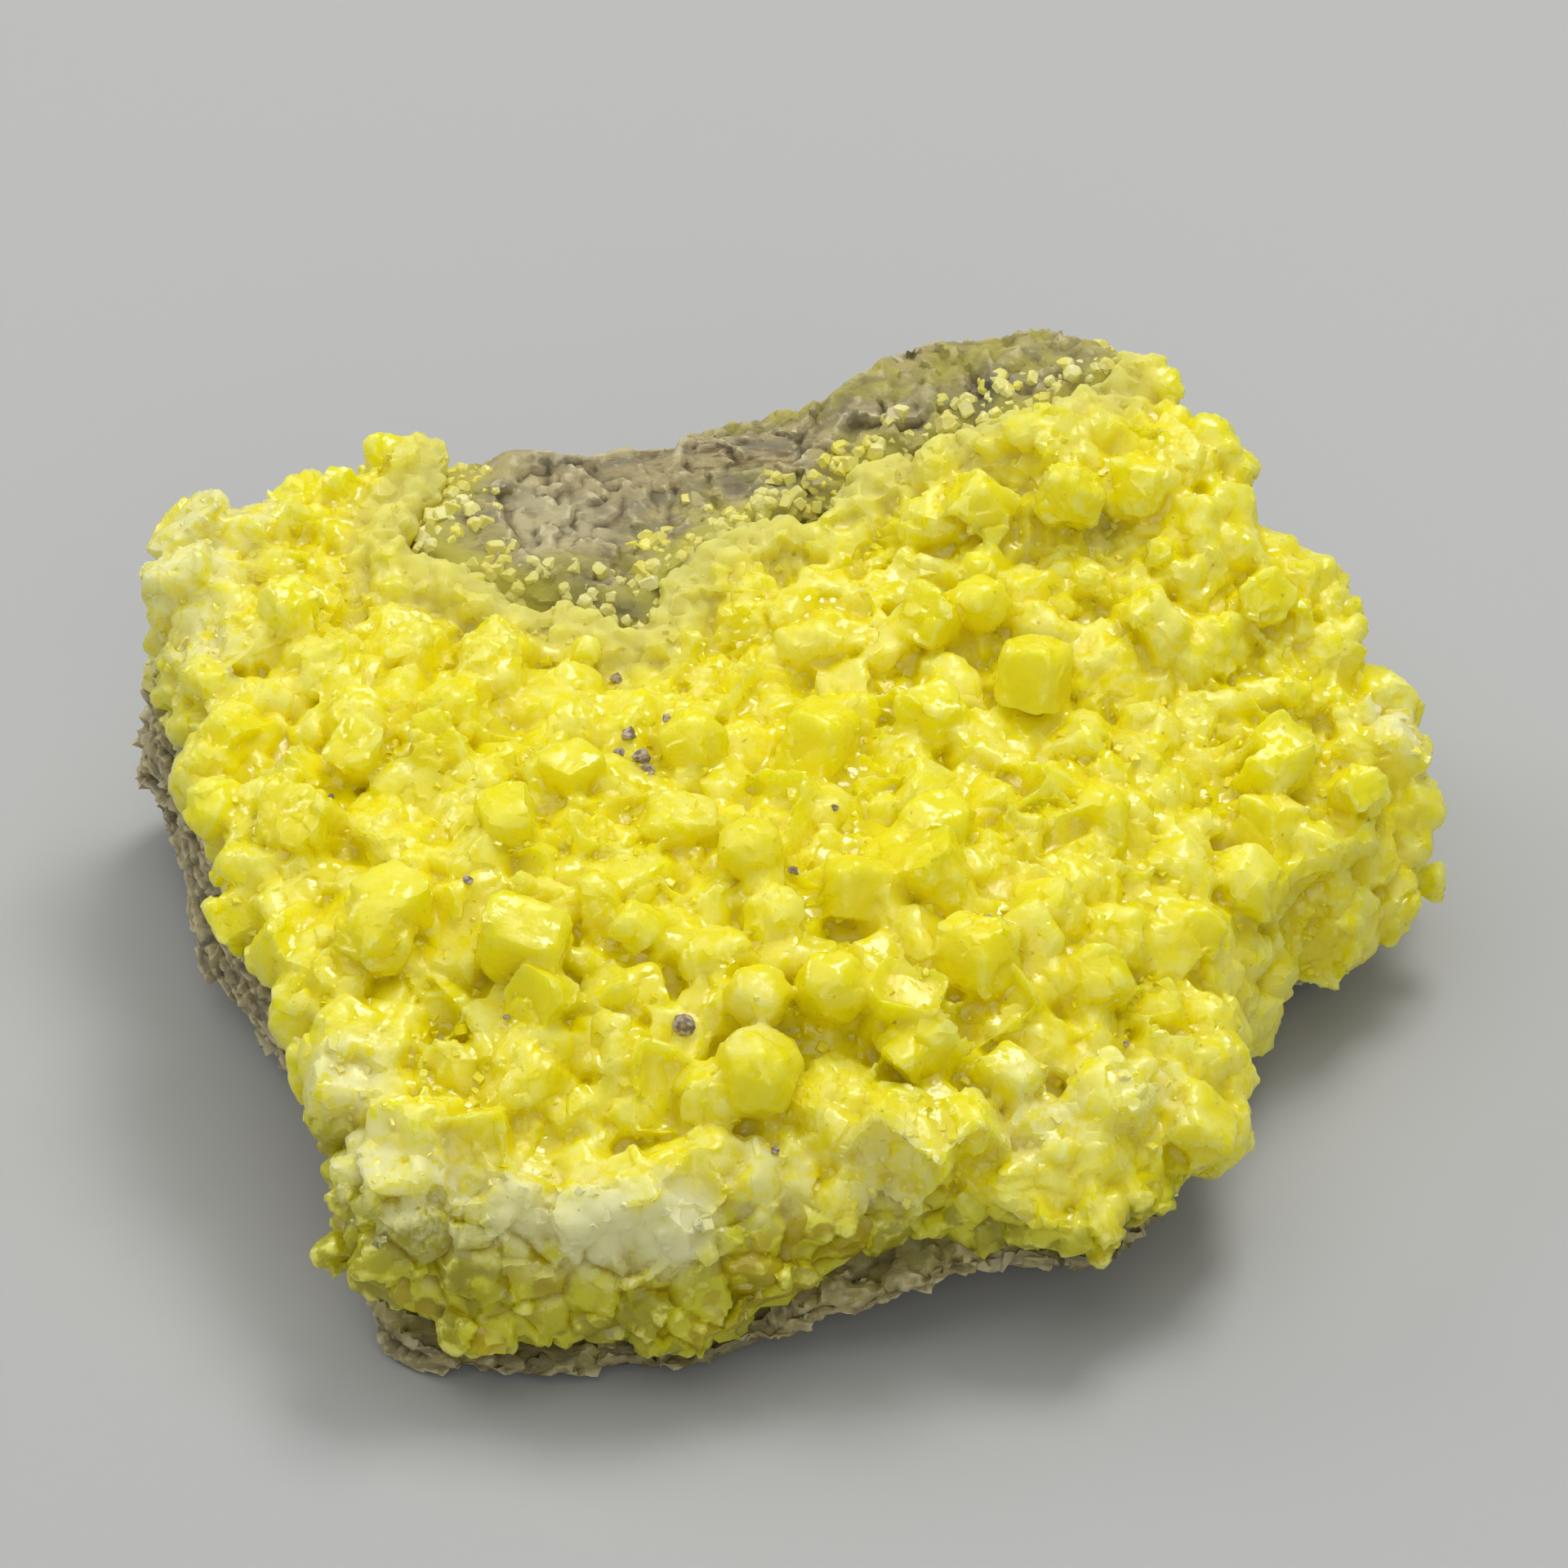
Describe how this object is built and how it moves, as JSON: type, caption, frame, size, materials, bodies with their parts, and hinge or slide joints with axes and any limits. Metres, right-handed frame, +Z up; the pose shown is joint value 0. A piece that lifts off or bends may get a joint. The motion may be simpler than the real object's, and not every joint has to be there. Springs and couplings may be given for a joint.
{
  "type": "native sulfur crystal specimen",
  "caption": "Hand specimen of native sulfur: a crust of grown-together, blocky yellow crystals on a wedge-shaped piece of limestone matrix with a bare strip at the back.",
  "frame": {"origin": "bottom centre of the specimen's box, on the surface that it rests on", "axes": "+X along the specimen's longest side, to the right when facing its broken front; +Y from the broken front to the back; +Z up"},
  "size_m": [0.0818, 0.0716, 0.0303],
  "materials": {
    "limestone": "rough broken stone, tan to beige-grey, streaked",
    "native_sulfur": "resinous, slightly translucent lemon-yellow crystals"
  },
  "bodies": {
    "root": {"limestone_matrix": "limestone", "sulfur_crust": "native_sulfur"}
  },
  "joints": []
}
